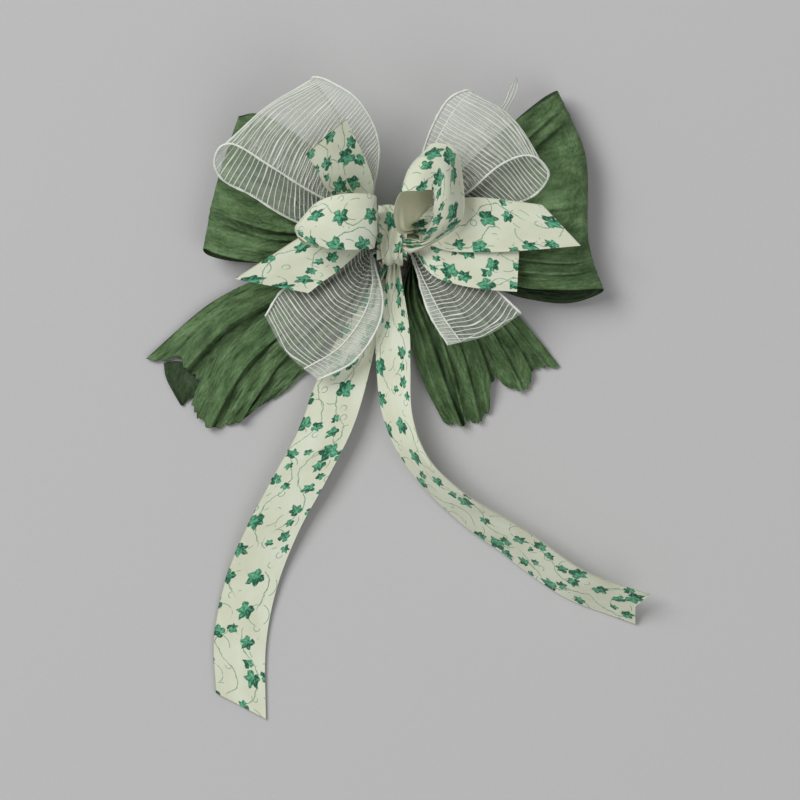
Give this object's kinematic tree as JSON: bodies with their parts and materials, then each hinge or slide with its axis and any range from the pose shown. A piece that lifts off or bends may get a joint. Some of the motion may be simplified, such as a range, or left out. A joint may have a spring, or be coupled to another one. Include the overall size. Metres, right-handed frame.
{
  "type": "gift bow",
  "caption": "Layered gift bow of crinkled paper, sheer and ivy-printed cotton ribbon, pinched in a gathered centre band with a tie wire at the back.",
  "frame": {"origin": "on the centre band's flat back face, behind the middle of the knot", "axes": "+Z out of the bow's front, +Y towards its top loops, +X to its right seen from the front; it lies on its back on z = 0"},
  "size_m": [0.2331, 0.2941, 0.0561],
  "materials": {
    "paper": "matte crinkled moss-green paper",
    "sheer": "sheer white mesh with corded weft stripes and edges",
    "cotton": "plain-woven ivory cotton printed with green ivy on its front",
    "wire": "brown paper-covered florist's wire"
  },
  "bodies": {
    "knot": {"paper_waist": "paper", "sheer_waist": "sheer", "cotton_waist": "cotton", "centre_band": "cotton", "tie_wire": "wire"},
    "wire_leg_left": {"wire_leg_left": "wire"},
    "wire_leg_right": {"wire_leg_right": "wire"},
    "paper_loop_left": {"paper_loop_left": "paper"},
    "paper_loop_right": {"paper_loop_right": "paper"},
    "paper_tail_left": {"paper_tail_left": "paper"},
    "paper_tail_right": {"paper_tail_right": "paper"},
    "sheer_loop_left": {"sheer_loop_left": "sheer"},
    "sheer_loop_right": {"sheer_loop_right": "sheer", "sheer_end": "sheer"},
    "sheer_tail_left": {"sheer_tail_left": "sheer"},
    "sheer_tail_right": {"sheer_tail_right": "sheer"},
    "cotton_loop_left": {"cotton_loop_left": "cotton"},
    "cotton_loop_right": {"cotton_loop_right": "cotton"},
    "cotton_tail_upper_left": {"cotton_tail_upper_left": "cotton"},
    "cotton_tail_left": {"cotton_tail_left": "cotton"},
    "cotton_tail_right": {"cotton_tail_right": "cotton"},
    "cotton_tail_lower_right": {"cotton_tail_lower_right": "cotton"},
    "long_tail_left": {"long_tail_left": "cotton"},
    "long_tail_right": {"long_tail_right": "cotton"}
  },
  "joints": [
    {"name": "wire_leg_left_bend", "type": "hinge", "parent": "knot", "child": "wire_leg_left", "pos_m": [-0.002, -0.0204, 0.0009], "axis": [0.9564, -0.2921, 0], "range_deg": [0, 85]},
    {"name": "wire_leg_right_bend", "type": "hinge", "parent": "knot", "child": "wire_leg_right", "pos_m": [0.004, -0.0204, 0.0009], "axis": [0.9564, 0.2921, 0], "range_deg": [0, 85]},
    {"name": "paper_loop_left_fan", "type": "hinge", "parent": "knot", "child": "paper_loop_left", "pos_m": [-0.0095, 0, 0], "axis": [0, 0, 1], "range_deg": [-5, 3]},
    {"name": "paper_loop_right_fan", "type": "hinge", "parent": "knot", "child": "paper_loop_right", "pos_m": [0.0095, 0, 0], "axis": [0, 0, 1], "range_deg": [-3, 5]},
    {"name": "paper_tail_left_fan", "type": "hinge", "parent": "knot", "child": "paper_tail_left", "pos_m": [-0.0095, -0.01, 0], "axis": [0, 0, 1], "range_deg": [-3, 6]},
    {"name": "paper_tail_right_fan", "type": "hinge", "parent": "knot", "child": "paper_tail_right", "pos_m": [0.0095, -0.01, 0], "axis": [0, 0, 1], "range_deg": [-6, 3]},
    {"name": "sheer_loop_left_fan", "type": "hinge", "parent": "knot", "child": "sheer_loop_left", "pos_m": [-0.0095, 0.005, 0], "axis": [0, 0, 1], "range_deg": [-6, 8]},
    {"name": "sheer_loop_right_fan", "type": "hinge", "parent": "knot", "child": "sheer_loop_right", "pos_m": [0.0095, 0.005, 0], "axis": [0, 0, 1], "range_deg": [-6, 6]},
    {"name": "sheer_tail_left_fan", "type": "hinge", "parent": "knot", "child": "sheer_tail_left", "pos_m": [-0.0095, -0.008, 0], "axis": [0, 0, 1], "range_deg": [-8, 6]},
    {"name": "sheer_tail_right_fan", "type": "hinge", "parent": "knot", "child": "sheer_tail_right", "pos_m": [0.0095, -0.008, 0], "axis": [0, 0, 1], "range_deg": [-8, 8]},
    {"name": "cotton_loop_left_fan", "type": "hinge", "parent": "knot", "child": "cotton_loop_left", "pos_m": [-0.0095, 0, 0], "axis": [0, 0, 1], "range_deg": [-3, 8]},
    {"name": "cotton_loop_right_fan", "type": "hinge", "parent": "knot", "child": "cotton_loop_right", "pos_m": [0.0095, 0, 0], "axis": [0, 0, 1], "range_deg": [-8, 4]},
    {"name": "cotton_tail_upper_left_fan", "type": "hinge", "parent": "knot", "child": "cotton_tail_upper_left", "pos_m": [-0.0095, 0.008, 0], "axis": [0, 0, 1], "range_deg": [-8, 3]},
    {"name": "cotton_tail_left_fan", "type": "hinge", "parent": "knot", "child": "cotton_tail_left", "pos_m": [-0.0095, -0.001, 0], "axis": [0, 0, 1], "range_deg": [-8, 8]},
    {"name": "cotton_tail_right_fan", "type": "hinge", "parent": "knot", "child": "cotton_tail_right", "pos_m": [0.0095, 0.001, 0], "axis": [0, 0, 1], "range_deg": [-6, 4]},
    {"name": "cotton_tail_lower_right_fan", "type": "hinge", "parent": "knot", "child": "cotton_tail_lower_right", "pos_m": [0.0095, -0.005, 0], "axis": [0, 0, 1], "range_deg": [-8, 6]},
    {"name": "long_tail_left_swing", "type": "hinge", "parent": "knot", "child": "long_tail_left", "pos_m": [-0.003, -0.019, 0], "axis": [0, 0, 1], "range_deg": [-25, 10]},
    {"name": "long_tail_right_swing", "type": "hinge", "parent": "knot", "child": "long_tail_right", "pos_m": [0.001, -0.019, 0], "axis": [0, 0, 1], "range_deg": [-10, 25]}
  ]
}
